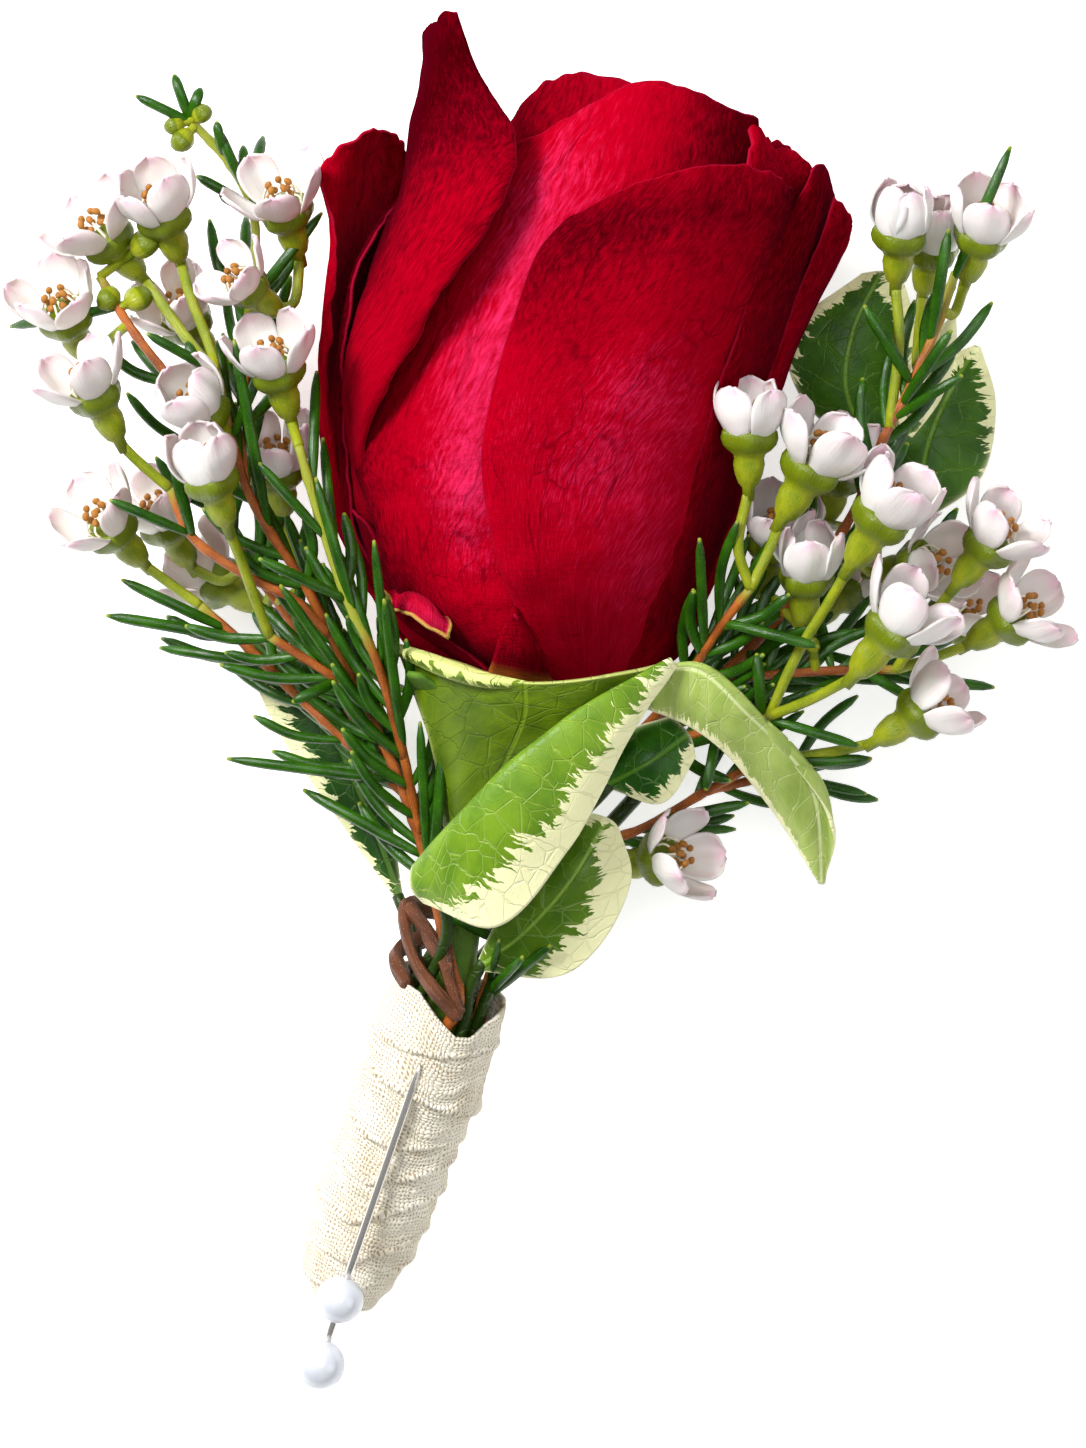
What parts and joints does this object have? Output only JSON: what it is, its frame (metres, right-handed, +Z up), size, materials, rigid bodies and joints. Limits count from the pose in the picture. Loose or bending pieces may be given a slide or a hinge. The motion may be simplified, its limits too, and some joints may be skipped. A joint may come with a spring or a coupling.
{
  "type": "boutonniere",
  "caption": "Boutonniere lying on its back: a deep red rose, white waxflower sprays, variegated leaves, a gauze-wrapped handle and pearl-headed pins.",
  "frame": {"origin": "on the table under the middle of the piece as it lies on its back", "axes": "+Z up from the table, +Y from the handle to the top of the bloom, +X to the right seen from above"},
  "size_m": [0.097, 0.124, 0.0377],
  "materials": {
    "rose": "soft velvety petal",
    "white_petal": "waxy white petal, tips blushed pink",
    "leaf": "satin leaf, green with a cream margin",
    "stem": "satin green stem",
    "spray": "green needles and cups, orange-brown twigs",
    "bark": "rough brown bark",
    "tape": "matte ivory gauze",
    "steel": "polished",
    "pearl": "glossy white pearl"
  },
  "bodies": {
    "root": {"rose_petals": "rose", "rose_stem": "stem", "leaf_collar": "leaf", "leaf_front": "leaf", "leaf_lower": "leaf", "leaf_small": "leaf", "leaf_right_fold": "leaf", "leaf_back_left": "leaf", "leaf_sprig_back": "leaf", "pin_upper_shaft": "steel", "pin_upper_head": "pearl", "pin_lower_shaft": "steel", "pin_lower_head": "pearl", "bark_wire": "bark", "corolla_left_1": "white_petal", "corolla_left_2": "white_petal", "corolla_left_3": "white_petal", "corolla_left_4": "white_petal", "corolla_left_5": "white_petal", "corolla_left_6": "white_petal", "corolla_left_7": "white_petal", "corolla_left_8": "white_petal", "corolla_left_9": "white_petal", "corolla_left_10": "white_petal", "corolla_left_11": "white_petal", "corolla_left_12": "white_petal", "corolla_left_13": "white_petal", "corolla_left_14": "white_petal", "corolla_right_1": "white_petal", "corolla_right_2": "white_petal", "corolla_right_3": "white_petal", "corolla_right_4": "white_petal", "corolla_right_5": "white_petal", "corolla_right_6": "white_petal", "corolla_right_7": "white_petal", "corolla_right_8": "white_petal", "corolla_right_9": "white_petal", "corolla_right_10": "white_petal", "corolla_right_11": "white_petal", "corolla_right_12": "white_petal", "corolla_right_13": "white_petal", "corolla_right_14": "white_petal", "corolla_right_15": "white_petal", "corolla_right_16": "white_petal", "corolla_right_17": "white_petal", "waxflower_left_greens": "spray", "waxflower_right_greens": "spray", "stem_wrap": "tape"}
  },
  "joints": []
}
